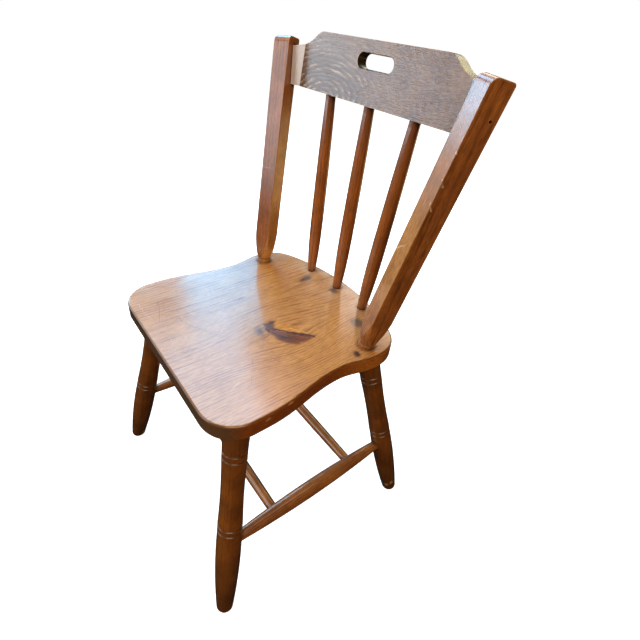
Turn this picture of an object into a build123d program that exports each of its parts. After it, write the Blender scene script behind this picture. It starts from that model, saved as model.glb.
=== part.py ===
"""Spindle-back side chair in stained pine: a plank seat on four splayed, turned legs.

Millimetres, +Z up. The chair faces -Y, +X is the sitter's left, and the origin is on the floor
under the middle of the four feet. All joints are glued round tenons in drilled sockets, apart
from the crest rail, whose flat tenons sit in slots in the back posts and are nailed there.
"""
import os

from build123d import *

# Seat: a plank with rounded front corners, a waist, a flare and a bowed back edge
SEAT_HEIGHT = 445.0
SEAT_THICKNESS = 30.0
SEAT_FRONT_Y = -195.0
SEAT_BACK_Y = 214.0
SEAT_FRONT_WIDTH = 416.0
SEAT_FRONT_CORNER = 60.0
SEAT_SIDE_STRAIGHT = 25.0
SEAT_WAIST_INSET = 19.0
SEAT_WAIST_FROM_BACK = 176.0
SEAT_FLARE_INSET = 6.0
SEAT_FLARE_FROM_BACK = 98.0
SEAT_SHOULDER_FROM_SIDE = 44.0
SEAT_SHOULDER_FROM_BACK = 31.0
SEAT_TOP_ROUND = 4.0
SEAT_BOTTOM_ROUND = 2.5
SOCKET_FLOOR = 7.0
GLUE_GAP = 0.1

# Legs: insets of the axes from the seat's edges at its underside, and outward run per unit drop
FRONT_LEG_SIDE_INSET = 51.0
FRONT_LEG_EDGE_INSET = 59.0
BACK_LEG_SIDE_INSET = 55.0
BACK_LEG_EDGE_INSET = 73.0
FRONT_LEG_SPLAY = 0.19
FRONT_LEG_RAKE = 0.2
BACK_LEG_SPLAY = 0.2145
BACK_LEG_RAKE = 0.188
LEG_TOP_DIAMETER = 46.0
LEG_UPPER_BAND_DIAMETER = 42.4
LEG_NECK_DIAMETER = 40.0
LEG_LOWER_BAND_DIAMETER = 43.4
LEG_SWELL_DIAMETER = 44.4
LEG_FOOT_DIAMETER = 31.0
LEG_UPPER_BAND_HEIGHT = 342.0
LEG_NECK_BELOW_BAND = 52.0
LEG_LOWER_BAND_HEIGHT = 193.5
LEG_SWELL_BELOW_BAND = 78.5
LEG_FOOT_ROUND = 6.0
LEG_FOOT_TRIM = 4.0
GROOVE_SPACING = 11.7
GROOVE_WIDTH = 3.0
GROOVE_DEPTH = 1.4
BAND_MARGIN = 3.0
LEG_TENON_DIAMETER = 25.0

# Stretchers: a swelled one on each side, and two rods across between them
STRETCHER_BELOW_BAND = 41.0
SIDE_STRETCHER_DIAMETER = 30.0
SIDE_STRETCHER_END = 19.0
CROSS_STRETCHER_DIAMETER = 22.0
CROSS_STRETCHER_END = 18.5
FRONT_CROSS_FROM_LEG = 97.0
BACK_CROSS_FROM_LEG = 97.0
LEG_SOCKET_DEPTH = 18.0
SIDE_SOCKET_DEPTH = 11.0
STRAIGHT_BEYOND_SOCKET = 3.0

# Back posts: bars that are twisted to face the sitter, with a turned foot and a rounded top
POST_SIDE_INSET = 32.0
POST_EDGE_INSET = 101.0
POST_SPLAY = 0.124
POST_RAKE = 0.184
POST_TWIST = 22.6
POST_WIDTH = 33.0
POST_DEPTH = 36.0
POST_LENGTH = 439.0
POST_FRONT_ROUND = 11.0
POST_BACK_ROUND = 4.5
POST_ARRIS = 1.0
POST_COLLAR_DIAMETER = 29.0
POST_COLLAR_HEIGHT = 7.0
POST_COLLAR_GROOVE = 1.0
POST_TURNED_LENGTH = 68.0
POST_TURNED_FLARE = 0.3
POST_CORNER_FLARE = 0.08
POST_TENON_DIAMETER = 22.0

# Crest rail: a hollowed board whose ends turn forward to meet the posts squarely
CREST_BOTTOM_DROP = 76.6
CREST_HEIGHT = 92.0
CREST_THICKNESS = 21.0
CREST_END_THICKNESS = 14.0
CREST_END_LENGTH = 23.0
CREST_SETBACK = 18.5
CREST_RAKE = 0.13
CREST_HOLLOW = 2.0
CREST_FLAT_TOP = 264.0
CREST_SHOULDER_WIDTH = 318.0
CREST_SHOULDER_DROP = 13.0
CREST_END_DROP = 29.0
CREST_END_SLOPE = 0.22
CREST_TENON_THICKNESS = 8.0
CREST_TENON_HEIGHT = 40.0
CREST_TENON_LENGTH = 20.0
CREST_TENON_LIFT = 31.0
SLOT_WIDTH = 80.0
SLOT_HEIGHT = 22.0
SLOT_BELOW_TOP = 30.0
SLOT_ROUND = 1.5

# Spindles: three swelled rods
SPINDLE_SPACING_BOTTOM = 82.5
SPINDLE_SPACING_TOP = 101.0
SPINDLE_EDGE_INSET = 26.0
SPINDLE_ROW_BOW = 5.0
SPINDLE_BASE_DIAMETER = 17.0
SPINDLE_SWELL_DIAMETER = 25.0
SPINDLE_SWELL_HEIGHT = 146.0
SPINDLE_BASE_FLARE = 0.09
SPINDLE_TOP_TAPER = 0.035
SPINDLE_TOP_DIAMETER = 18.0
SPINDLE_TENON_DIAMETER = 13.0
SPINDLE_TENON_LENGTH = 16.0

# Nails through the posts into the ends of the crest rail
NAIL_SHANK = 2.6
NAIL_HEAD = 4.0
NAIL_HEAD_HEIGHT = 1.6
NAIL_LENGTH = 42.0
NAIL_SET = 1.2

# Levels, edges and directions that follow from the sizes
underside = SEAT_HEIGHT - SEAT_THICKNESS
tenon_rise = SEAT_THICKNESS - SOCKET_FLOOR
front_half = SEAT_FRONT_WIDTH / 2
waist_half = front_half - SEAT_WAIST_INSET
flare_half = front_half - SEAT_FLARE_INSET
side_names = {1: "left", -1: "right"}
leg_ends = ("front", "back")
floor = Plane.XY
upward = (0, 1)


def between(start, end, share):
    """The point that lies a share of the way from start to end."""
    return start + (end - start) * share


def outline_plane(start, end):
    """A drawing plane with its Y on the line from start to end, for outlines turned about it."""
    along = (end - start).normalized()
    level = Vector(0, 1, 0) if abs(along.Z) > abs(along.Y) else Vector(0, 0, 1)
    out = along.cross(level)
    return Plane(origin=start, x_dir=out, z_dir=out.cross(along))


def square_plane(point, toward):
    """A plane through point, square to the line that goes on to another point."""
    return Plane(origin=point, z_dir=toward - point)


def leg_axis(end, side):
    """Where one leg's axis meets the floor and the underside of the seat."""
    if end == "front":
        top = Vector(front_half - FRONT_LEG_SIDE_INSET, SEAT_FRONT_Y + FRONT_LEG_EDGE_INSET, underside)
        run = Vector(FRONT_LEG_SPLAY, -FRONT_LEG_RAKE, -1)
    else:
        top = Vector(flare_half - BACK_LEG_SIDE_INSET, SEAT_BACK_Y - BACK_LEG_EDGE_INSET, underside)
        run = Vector(BACK_LEG_SPLAY, BACK_LEG_RAKE, -1)
    foot = top + run * underside
    return Vector(foot.X * side, foot.Y, foot.Z), Vector(top.X * side, top.Y, top.Z)


def side_axis(side):
    """The leg axis points at stretcher height, which a side stretcher runs between."""
    share = (LEG_LOWER_BAND_HEIGHT - STRETCHER_BELOW_BAND) / underside
    return [between(*leg_axis(end, side), share) for end in leg_ends]


def cross_points(end):
    """The points of the side stretchers' axes, right and left, that a cross rod runs between."""
    points = []
    for side in (-1, 1):
        front, back = side_axis(side)
        step = (back - front).normalized()
        if end == "front":
            points.append(front + step * FRONT_CROSS_FROM_LEG)
        else:
            points.append(back - step * BACK_CROSS_FROM_LEG)
    return points


def side_radius(distance, length):
    """The side stretcher's radius at a distance from its end, on the arc of its swell."""
    share = 1 - 2 * distance / length
    return (SIDE_STRETCHER_DIAMETER - (SIDE_STRETCHER_DIAMETER - SIDE_STRETCHER_END) * share**2) / 2


def post_frame(side):
    """The post's own frame at the seat: Z up the post, X outward across it, Y to its back."""
    base = (flare_half - POST_SIDE_INSET, SEAT_BACK_Y - POST_EDGE_INSET, SEAT_HEIGHT)
    out = Vector(1, 0, 0).rotate(Axis.Z, -POST_TWIST)
    return Plane(
        origin=(base[0] * side, base[1], base[2]),
        x_dir=(out.X * side, out.Y, 0),
        z_dir=(POST_SPLAY * side, POST_RAKE, 1),
    )


def on_post(side, x, y, z):
    """A point given by its places across, through and up the post, counted from its axis."""
    frame = post_frame(side)
    return frame.origin + frame.x_dir * x + frame.y_dir * (y * side) + frame.z_dir * z


# Places on the post: its inner face, and the middle of the crest rail's tenon in it
post_slope = (1 + POST_SPLAY**2 + POST_RAKE**2) ** 0.5
crest_above_seat = POST_LENGTH / post_slope - CREST_BOTTOM_DROP
inner_face = -POST_WIDTH / 2
crest_front = -POST_DEPTH / 2 + CREST_SETBACK
tenon_middle_y = crest_front + CREST_END_THICKNESS / 2
tenon_middle_z = (crest_above_seat + CREST_TENON_LIFT) * post_slope

# The crest rail's frame: from its left end on the post, back along the end to the crease
crest_touch = on_post(1, inner_face, crest_front, tenon_middle_z)
crest_crease = on_post(1, inner_face - CREST_END_LENGTH, crest_front, tenon_middle_z)
crest_bottom = SEAT_HEIGHT + crest_above_seat
crest_front_y = crest_crease.Y + CREST_HOLLOW - CREST_RAKE * (crest_crease.Z - crest_bottom)
crest_plan = Plane(origin=(0, crest_front_y, crest_bottom), x_dir=(1, 0, 0), z_dir=(0, CREST_RAKE, 1))
crest_face = Plane(origin=crest_plan.origin, x_dir=(1, 0, 0), z_dir=-crest_plan.y_dir)
crest_rise = CREST_HEIGHT * (1 + CREST_RAKE**2) ** 0.5
crease_half = crest_crease.X
crest_reach = flare_half + POST_SPLAY * POST_LENGTH
end_run = crest_touch - crest_crease

# Spindle places: a bowed row in the seat, a straight row in the middle of the crest's underside
spindle_names = {-1: "right", 0: "middle", 1: "left"}


def spindle_axis(place):
    """Where a spindle's axis leaves the seat and enters the crest rail."""
    y = SEAT_BACK_Y - SPINDLE_EDGE_INSET - SPINDLE_ROW_BOW * abs(place)
    bottom = Vector(place * SPINDLE_SPACING_BOTTOM, y, SEAT_HEIGHT)
    top = crest_plan.from_local_coords(Vector(place * SPINDLE_SPACING_TOP, CREST_THICKNESS / 2, 0))
    return bottom, top


os.makedirs("parts", exist_ok=True)

# Seat
corner_start = (front_half - SEAT_FRONT_CORNER, SEAT_FRONT_Y)
corner_end = (front_half, SEAT_FRONT_Y + SEAT_FRONT_CORNER)
side_end = (front_half, corner_end[1] + SEAT_SIDE_STRAIGHT)
waist = (waist_half, SEAT_BACK_Y - SEAT_WAIST_FROM_BACK)
flare = (flare_half, SEAT_BACK_Y - SEAT_FLARE_FROM_BACK)
shoulder = (flare_half - SEAT_SHOULDER_FROM_SIDE, SEAT_BACK_Y - SEAT_SHOULDER_FROM_BACK)
back_middle = (0, SEAT_BACK_Y)

with BuildPart() as seat:
    with BuildSketch(Plane.XY.offset(underside)):
        with BuildLine():
            Line((0, SEAT_FRONT_Y), corner_start)
            RadiusArc(corner_start, corner_end, -SEAT_FRONT_CORNER)
            Line(corner_end, side_end)
            Spline(side_end, waist, tangents=(upward, upward))
            Spline(waist, flare, tangents=(upward, upward))
            back_bow = TangentArc(back_middle, shoulder, tangent=(1, 0))
            Spline(shoulder, flare, tangents=(back_bow % 1, (0, -1)))
            mirror(about=Plane.YZ)
        make_face()
    extrude(amount=SEAT_THICKNESS)
    fillet(seat.faces().sort_by(Axis.Z)[-1].edges(), SEAT_TOP_ROUND)
    fillet(seat.faces().sort_by(Axis.Z)[0].edges(), SEAT_BOTTOM_ROUND)
    for side in side_names:
        for end in leg_ends:
            foot, top = leg_axis(end, side)
            with BuildSketch(square_plane(top, top + top - foot)):
                Circle(LEG_TENON_DIAMETER / 2 + GLUE_GAP)
            extrude(amount=tenon_rise + GLUE_GAP, both=True, mode=Mode.SUBTRACT)
        with BuildSketch(post_frame(side)):
            Circle(POST_TENON_DIAMETER / 2 + GLUE_GAP)
        extrude(amount=tenon_rise + GLUE_GAP, both=True, mode=Mode.SUBTRACT)
    for place in spindle_names:
        with BuildSketch(square_plane(*spindle_axis(place))):
            Circle(SPINDLE_BASE_DIAMETER / 2 + GLUE_GAP)
        extrude(amount=tenon_rise + GLUE_GAP, both=True, mode=Mode.SUBTRACT)
seat.part.label = "seat"
export_step(seat.part, "parts/seat.step")


def grooved_band(radius, level):
    """The outline of a straight band with a pair of V grooves, from its lower to its upper end."""
    points = [(radius, level - GROOVE_SPACING / 2 - BAND_MARGIN)]
    for middle in (level - GROOVE_SPACING / 2, level + GROOVE_SPACING / 2):
        points.append((radius, middle - GROOVE_WIDTH / 2))
        points.append((radius - GROOVE_DEPTH, middle))
        points.append((radius, middle + GROOVE_WIDTH / 2))
    points.append((radius, level + GROOVE_SPACING / 2 + BAND_MARGIN))
    return points


# Legs: one turned outline, trimmed to the underside of the seat at the top and level at the floor
for end in leg_ends:
    for side in side_names:
        foot, top = leg_axis(end, side)
        slope = (top - foot).length / underside
        toe = (LEG_FOOT_DIAMETER / 2, LEG_FOOT_ROUND - LEG_FOOT_TRIM)
        toe_flat = (toe[0] - LEG_FOOT_ROUND, -LEG_FOOT_TRIM)
        swell = (LEG_SWELL_DIAMETER / 2, (LEG_LOWER_BAND_HEIGHT - LEG_SWELL_BELOW_BAND) * slope)
        lower_band = grooved_band(LEG_LOWER_BAND_DIAMETER / 2, LEG_LOWER_BAND_HEIGHT * slope)
        neck = (LEG_NECK_DIAMETER / 2, (LEG_UPPER_BAND_HEIGHT - LEG_NECK_BELOW_BAND) * slope)
        upper_band = grooved_band(LEG_UPPER_BAND_DIAMETER / 2, LEG_UPPER_BAND_HEIGHT * slope)
        crown = (LEG_TOP_DIAMETER / 2, underside * slope - LEG_TOP_DIAMETER / 2)
        spare_top = (LEG_TOP_DIAMETER / 2, underside * slope + LEG_TOP_DIAMETER / 2)
        stretcher = side_axis(side)
        socket_start, socket_toward = stretcher if end == "front" else reversed(stretcher)
        with BuildPart() as leg:
            with BuildSketch(outline_plane(foot, top)):
                with BuildLine():
                    Line((0, -LEG_FOOT_TRIM), toe_flat)
                    RadiusArc(toe_flat, toe, -LEG_FOOT_ROUND)
                    Spline(toe, swell, lower_band[0])
                    Polyline(*lower_band)
                    Spline(lower_band[-1], neck, upper_band[0])
                    Polyline(*upper_band)
                    Line(upper_band[-1], crown)
                    Polyline(crown, spare_top, (0, spare_top[1]), (0, -LEG_FOOT_TRIM))
                make_face()
            revolve(axis=Axis(foot, top - foot))
            split(bisect_by=Plane.XY.offset(underside), keep=Keep.BOTTOM)
            split(bisect_by=floor, keep=Keep.TOP)
            with BuildSketch(square_plane(top, top + top - foot)):
                Circle(LEG_TENON_DIAMETER / 2)
            extrude(amount=tenon_rise, both=True)
            socket_floor = LEG_LOWER_BAND_DIAMETER / 2 - LEG_SOCKET_DEPTH - GLUE_GAP
            with BuildSketch(square_plane(socket_start, socket_toward).offset(socket_floor)):
                Circle(SIDE_STRETCHER_END / 2 + GLUE_GAP)
            extrude(amount=LEG_SWELL_DIAMETER, mode=Mode.SUBTRACT)
        name = f"{end}_leg_{side_names[side]}"
        leg.part.label = name
        export_step(leg.part, f"parts/{name}.step")

# Side stretchers: swelled in an even arc, with sockets for the cross rods
side_inset = LEG_LOWER_BAND_DIAMETER / 2 - LEG_SOCKET_DEPTH
for side in side_names:
    front, back = side_axis(side)
    step = (back - front).normalized()
    front, back = front + step * side_inset, back - step * side_inset
    length = (back - front).length
    straight = LEG_SOCKET_DEPTH + STRAIGHT_BEYOND_SOCKET
    shoulders = [(SIDE_STRETCHER_END / 2, straight), (SIDE_STRETCHER_END / 2, length - straight)]
    with BuildPart() as side_stretcher:
        with BuildSketch(outline_plane(front, back)):
            with BuildLine():
                Polyline((0, 0), (SIDE_STRETCHER_END / 2, 0), shoulders[0])
                ThreePointArc(shoulders[0], (SIDE_STRETCHER_DIAMETER / 2, length / 2), shoulders[1])
                Polyline(shoulders[1], (SIDE_STRETCHER_END / 2, length), (0, length), (0, 0))
            make_face()
        revolve(axis=Axis(front, back - front))
        for end in leg_ends:
            points = cross_points(end)
            here, there = reversed(points) if side == 1 else points
            radius = side_radius((here - front).length - straight, length - 2 * straight)
            with BuildSketch(square_plane(here, there).offset(radius - SIDE_SOCKET_DEPTH - GLUE_GAP)):
                Circle(CROSS_STRETCHER_END / 2 + GLUE_GAP)
            extrude(amount=SIDE_STRETCHER_DIAMETER, mode=Mode.SUBTRACT)
    name = f"side_stretcher_{side_names[side]}"
    side_stretcher.part.label = name
    export_step(side_stretcher.part, f"parts/{name}.step")

# Cross stretchers: rods with a slight swell
for end in leg_ends:
    right_point, left_point = cross_points(end)
    front, back = side_axis(1)
    step = (left_point - right_point).normalized()
    swell_start = side_inset + LEG_SOCKET_DEPTH + STRAIGHT_BEYOND_SOCKET
    radius = side_radius((left_point - front).length - swell_start, (back - front).length - 2 * swell_start)
    right_end = right_point + step * (radius - SIDE_SOCKET_DEPTH)
    left_end = left_point - step * (radius - SIDE_SOCKET_DEPTH)
    length = (left_end - right_end).length
    straight = SIDE_SOCKET_DEPTH + STRAIGHT_BEYOND_SOCKET
    shoulders = [(CROSS_STRETCHER_END / 2, straight), (CROSS_STRETCHER_END / 2, length - straight)]
    with BuildPart() as cross_stretcher:
        with BuildSketch(outline_plane(right_end, left_end)):
            with BuildLine():
                Polyline((0, 0), (CROSS_STRETCHER_END / 2, 0), shoulders[0])
                ThreePointArc(shoulders[0], (CROSS_STRETCHER_DIAMETER / 2, length / 2), shoulders[1])
                Polyline(shoulders[1], (CROSS_STRETCHER_END / 2, length), (0, length), (0, 0))
            make_face()
        revolve(axis=Axis(right_end, left_end - right_end))
    name = f"cross_stretcher_{end}"
    cross_stretcher.part.label = name
    export_step(cross_stretcher.part, f"parts/{name}.step")

# Back posts: the bar meets a turned body whose radius grows past its corners, so the flats end in arcs
collar = POST_COLLAR_DIAMETER / 2
corner = (POST_WIDTH**2 + POST_DEPTH**2) ** 0.5 / 2
spare_foot = POST_COLLAR_DIAMETER
neck = (collar - POST_COLLAR_GROOVE, POST_COLLAR_HEIGHT + POST_COLLAR_GROOVE)
flank = (collar, neck[1] + POST_COLLAR_GROOVE)
flats_full = (corner, POST_TURNED_LENGTH)
for side in side_names:
    frame = post_frame(side)
    up = Axis(frame.origin, frame.z_dir)
    across = Axis(frame.origin, frame.x_dir)
    through = Axis(frame.origin, frame.y_dir * side)
    with BuildPart() as post:
        with BuildSketch(frame.offset(-spare_foot)):
            Rectangle(POST_WIDTH, POST_DEPTH)
        extrude(amount=spare_foot + POST_LENGTH)
        fillet(post.faces().sort_by(through)[0].edges().filter_by(across).sort_by(up)[-1], POST_FRONT_ROUND)
        fillet(post.faces().sort_by(through)[-1].edges().filter_by(across).sort_by(up)[-1], POST_BACK_ROUND)
        fillet(post.edges().filter_by(up), POST_ARRIS)
        with BuildSketch(Plane(origin=frame.origin, x_dir=frame.x_dir, z_dir=-frame.y_dir)):
            with BuildLine():
                Polyline((0, -spare_foot), (collar, -spare_foot), (collar, POST_COLLAR_HEIGHT), neck, flank)
                Spline(flank, flats_full, tangents=((POST_TURNED_FLARE, 1), (POST_CORNER_FLARE, 1)))
                Polyline(flats_full, (corner, POST_LENGTH), (0, POST_LENGTH), (0, -spare_foot))
            make_face()
        revolve(axis=up, mode=Mode.INTERSECT)
        split(bisect_by=Plane.XY.offset(SEAT_HEIGHT), keep=Keep.TOP)
        with BuildSketch(frame):
            Circle(POST_TENON_DIAMETER / 2)
        extrude(amount=tenon_rise, both=True)
        tenon_start = on_post(side, inner_face, tenon_middle_y, tenon_middle_z)
        with BuildSketch(Plane(origin=tenon_start, x_dir=frame.y_dir, z_dir=frame.x_dir)):
            Rectangle(CREST_TENON_THICKNESS + 2 * GLUE_GAP, CREST_TENON_HEIGHT + 2 * GLUE_GAP)
        extrude(amount=CREST_TENON_LENGTH + GLUE_GAP, mode=Mode.SUBTRACT)
        nail_start = on_post(side, -inner_face, tenon_middle_y, tenon_middle_z)
        with BuildSketch(Plane(origin=nail_start, x_dir=frame.y_dir, z_dir=-frame.x_dir)):
            Circle(NAIL_HEAD / 2 + GLUE_GAP)
        extrude(amount=NAIL_SET + NAIL_HEAD_HEIGHT, mode=Mode.SUBTRACT)
        with BuildSketch(Plane(origin=nail_start, x_dir=frame.y_dir, z_dir=-frame.x_dir)):
            Circle(NAIL_SHANK / 2 + GLUE_GAP)
        extrude(amount=POST_WIDTH, mode=Mode.SUBTRACT)
    name = f"back_post_{side_names[side]}"
    post.part.label = name
    export_step(post.part, f"parts/{name}.step")

# Crest rail: plan section run up the back, cut to its outline, with a hand slot and end tenons
turn = Vector(end_run.X, end_run.Y, 0).normalized() * (crest_reach - crease_half)
front_crease = (crease_half, -CREST_HOLLOW)
front_end = (front_crease[0] + turn.X, front_crease[1] + turn.Y)
back_crease = (crease_half, CREST_THICKNESS - CREST_HOLLOW)
back_touch_x = crease_half + end_run.X
back_touch_y = front_crease[1] + end_run.Y + CREST_END_THICKNESS
back_end = (back_touch_x + turn.X, back_touch_y + turn.Y)
flat_end = (CREST_FLAT_TOP / 2, crest_rise)
shoulder_turn = (CREST_SHOULDER_WIDTH / 2, crest_rise - CREST_SHOULDER_DROP)
shoulder_end = (crease_half + end_run.X, crest_rise - CREST_END_DROP)
spare_end = (crest_reach, shoulder_end[1])

with BuildPart() as crest:
    with BuildSketch(crest_plan):
        with BuildLine():
            ThreePointArc((-front_crease[0], front_crease[1]), (0, 0), front_crease)
            Polyline(front_crease, front_end, back_end, (back_touch_x, back_touch_y), back_crease)
            ThreePointArc(back_crease, (0, CREST_THICKNESS), (-back_crease[0], back_crease[1]))
            Polyline(
                (-back_crease[0], back_crease[1]),
                (-back_touch_x, back_touch_y),
                (-back_end[0], back_end[1]),
                (-front_end[0], front_end[1]),
                (-front_crease[0], front_crease[1]),
            )
        make_face()
    extrude(amount=crest_rise)
    with BuildSketch(crest_face):
        with BuildLine():
            Polyline((0, 0), (crest_reach, 0), spare_end, shoulder_end)
            Spline(shoulder_end, shoulder_turn, flat_end, tangents=((-1, CREST_END_SLOPE), (-1, 0)))
            Line(flat_end, (0, crest_rise))
            mirror(about=Plane.YZ)
        make_face()
    extrude(amount=CREST_THICKNESS * 4, both=True, mode=Mode.INTERSECT)
    for side in side_names:
        frame = post_frame(side)
        inner = Plane(origin=on_post(side, inner_face, 0, 0), x_dir=frame.y_dir, z_dir=frame.x_dir)
        split(bisect_by=inner, keep=Keep.BOTTOM)
    with BuildSketch(crest_face):
        with Locations((0, crest_rise - SLOT_BELOW_TOP)):
            SlotOverall(SLOT_WIDTH, SLOT_HEIGHT)
    extrude(amount=CREST_THICKNESS * 2, both=True, mode=Mode.SUBTRACT)
    slot_walls = Axis(crest_plan.origin, crest_plan.y_dir)
    fillet(crest.edges(Select.LAST).filter_by(slot_walls, reverse=True), SLOT_ROUND)
    for side in side_names:
        frame = post_frame(side)
        tenon_root = on_post(side, inner_face - CREST_END_LENGTH / 2, tenon_middle_y, tenon_middle_z)
        with BuildSketch(Plane(origin=tenon_root, x_dir=frame.y_dir, z_dir=frame.x_dir)):
            Rectangle(CREST_TENON_THICKNESS, CREST_TENON_HEIGHT)
        extrude(amount=CREST_END_LENGTH / 2 + CREST_TENON_LENGTH)
        nail_start = on_post(side, -inner_face - NAIL_SET, tenon_middle_y, tenon_middle_z)
        with BuildSketch(Plane(origin=nail_start, x_dir=frame.y_dir, z_dir=-frame.x_dir)):
            Circle(NAIL_SHANK / 2 + GLUE_GAP)
        extrude(amount=NAIL_LENGTH + GLUE_GAP, mode=Mode.SUBTRACT)
    for place in spindle_names:
        bottom, top = spindle_axis(place)
        with BuildSketch(square_plane(top, top + top - bottom)):
            Circle(SPINDLE_TENON_DIAMETER / 2 + GLUE_GAP)
        extrude(amount=SPINDLE_TENON_LENGTH + GLUE_GAP, both=True, mode=Mode.SUBTRACT)
crest.part.label = "crest_rail"
export_step(crest.part, "parts/crest_rail.step")

# Spindles: swelled below the middle, trimmed to the crest rail's underside, with a tenon in it
base_flare = (SPINDLE_BASE_FLARE, 1)
top_taper = (-SPINDLE_TOP_TAPER, 1)
base_radius = SPINDLE_BASE_DIAMETER / 2
top_radius = SPINDLE_TOP_DIAMETER / 2
for place in spindle_names:
    bottom, top = spindle_axis(place)
    low = bottom - (top - bottom).normalized() * tenon_rise
    length = (top - low).length
    leaves_seat = (base_radius, tenon_rise)
    swell = (SPINDLE_SWELL_DIAMETER / 2, tenon_rise + SPINDLE_SWELL_HEIGHT)
    meets_crest = (top_radius, length - top_radius)
    spare_top = (top_radius, length + top_radius)
    with BuildPart() as spindle:
        with BuildSketch(outline_plane(low, top)):
            with BuildLine():
                Polyline((0, 0), (base_radius, 0), leaves_seat)
                Spline(leaves_seat, swell, meets_crest, tangents=(base_flare, top_taper))
                Polyline(meets_crest, spare_top, (0, spare_top[1]), (0, 0))
            make_face()
        revolve(axis=Axis(low, top - low))
        split(bisect_by=crest_plan, keep=Keep.BOTTOM)
        with BuildSketch(square_plane(top, top + top - bottom)):
            Circle(SPINDLE_TENON_DIAMETER / 2)
        extrude(amount=SPINDLE_TENON_LENGTH, both=True)
    name = f"spindle_{spindle_names[place]}"
    spindle.part.label = name
    export_step(spindle.part, f"parts/{name}.step")

# Crest nails: one through each post, its head set below the surface
with BuildPart() as nails:
    for side in side_names:
        frame = post_frame(side)
        head_top = on_post(side, -inner_face - NAIL_SET, tenon_middle_y, tenon_middle_z)
        with BuildSketch(Plane(origin=head_top, x_dir=frame.y_dir, z_dir=-frame.x_dir)):
            Circle(NAIL_HEAD / 2)
        extrude(amount=NAIL_HEAD_HEIGHT)
        with BuildSketch(Plane(origin=head_top, x_dir=frame.y_dir, z_dir=-frame.x_dir)):
            Circle(NAIL_SHANK / 2)
        extrude(amount=NAIL_LENGTH)
nails.part.label = "crest_nails"
export_step(nails.part, "parts/crest_nails.step")
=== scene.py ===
# %% [markdown]
# # A spindle-back side chair in stained pine
# The chair arrives as a finished CAD model: a plank seat, turned legs, stretchers, two back posts,
# a crest rail, three spindles and two nails. Its shapes are right, so this lesson adds what CAD
# leaves out: the wood, the finish, the light and the camera. Everything is in metres, the chair
# faces -Y, and each piece's place is in its mesh, so Object coordinates are the room's coordinates.

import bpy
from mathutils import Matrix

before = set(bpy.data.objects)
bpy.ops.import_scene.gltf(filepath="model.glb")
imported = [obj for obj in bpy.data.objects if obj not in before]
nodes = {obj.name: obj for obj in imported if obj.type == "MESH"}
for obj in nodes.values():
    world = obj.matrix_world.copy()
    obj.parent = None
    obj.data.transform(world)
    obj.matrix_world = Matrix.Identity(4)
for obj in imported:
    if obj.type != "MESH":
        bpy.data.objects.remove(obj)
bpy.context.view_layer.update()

# %% [markdown]
# ## Colours and nodes
# Paint charts and photographs give colours as sRGB hex codes, but light adds up in linear numbers,
# so one function turns a code into them. Every finish below is a network of small nodes. Each could
# be made, set up and linked by its own lines, but then a network is hard to follow. One function
# does all three for any node, so that a network reads like a list of steps.

# %% Helpers for colours and nodes
import math

import bmesh
import bpy
from mathutils import Matrix, Vector


def linear(code):
    """An sRGB hex colour as linear red, green, blue and alpha."""
    parts = [int(code[i : i + 2], 16) / 255 for i in (1, 3, 5)]
    return [p / 12.92 if p <= 0.04045 else ((p + 0.055) / 1.055) ** 2.4 for p in parts] + [1]


def add(tree, kind, inputs, out=0, **settings):
    """Add a node, set it up, fill or link its inputs, and give back one of its outputs."""
    node = tree.nodes.new("ShaderNode" + kind)
    for name, value in settings.items():
        setattr(node, name, value)
    for name, value in inputs.items():
        if isinstance(value, bpy.types.NodeSocket):
            tree.links.new(value, node.inputs[name])
        else:
            node.inputs[name].default_value = value
    return node.outputs[out] if node.outputs else None


def blank_material(name):
    """A material with an empty network."""
    material = bpy.data.materials.new(name)
    material.use_nodes = True
    material.node_tree.nodes.clear()
    return material


print("honey pine is", [round(x, 3) for x in linear("#b9803a")], "in linear numbers")

# %% [markdown]
# ## The camera
# The photograph was taken from standing height with a wide lens, close to the front left leg. A
# camera can be placed by eye, but then a leg that looks too long might only be the lens. So this
# one was fitted to the seat's outline, the posts and the feet, and its numbers are kept here. The
# shift slides the picture within its frame, without turning the camera.

# %% Place the camera
EYE = Vector((0.54207, -0.33375, 0.93384))
YAW, PITCH, ROLL = 0.88577, 0.62577, 0.08522
LENS_MM, SENSOR_MM = 23.825, 36
SHIFT_X, SHIFT_Y = 0.0216, -0.0237
FURTHEST = 200

scene = bpy.context.scene
camera = bpy.data.objects.new("camera", bpy.data.cameras.new("camera"))
scene.collection.objects.link(camera)
camera.data.sensor_width = SENSOR_MM
camera.data.lens = LENS_MM
camera.data.shift_x = SHIFT_X
camera.data.shift_y = SHIFT_Y
camera.data.clip_end = FURTHEST
heading = Matrix.Rotation(YAW, 4, "Z")
tilt = Matrix.Rotation(math.pi / 2 - PITCH, 4, "X")
turn = heading @ tilt @ Matrix.Rotation(ROLL, 4, "Z")
camera.matrix_world = Matrix.Translation(EYE) @ turn
bpy.context.scene.camera = camera
print("the camera looks along", [round(x, 2) for x in turn @ Vector((0, 0, -1))])

# %% [markdown]
# ## The world
# Behind the chair is plain white. A white world would give that at once, but its light would also
# fill every shadow, and the photographed chair is dark underneath. So the camera sees a white world
# while the chair is lit by a dim, warm one, and soft panels do the rest.

# %% Set the world
WORLD_SEEN, WORLD_LIT_BY = "#ffffff", "#231f1b"

scene.view_settings.view_transform = "Standard"
world = bpy.data.worlds.new("studio")
world.use_nodes = True
tree = world.node_tree
tree.nodes.clear()
seen = add(tree, "LightPath", {}, out="Is Camera Ray")
glow = add(tree, "Mix", {0: seen, 6: linear(WORLD_LIT_BY), 7: linear(WORLD_SEEN)}, out=2, data_type="RGBA")
light = add(tree, "Background", {"Color": glow, "Strength": 1.0})
add(tree, "OutputWorld", {"Surface": light})
scene.world = world
print("the world is seen as", WORLD_SEEN, "and lights with", WORLD_LIT_BY)

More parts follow.
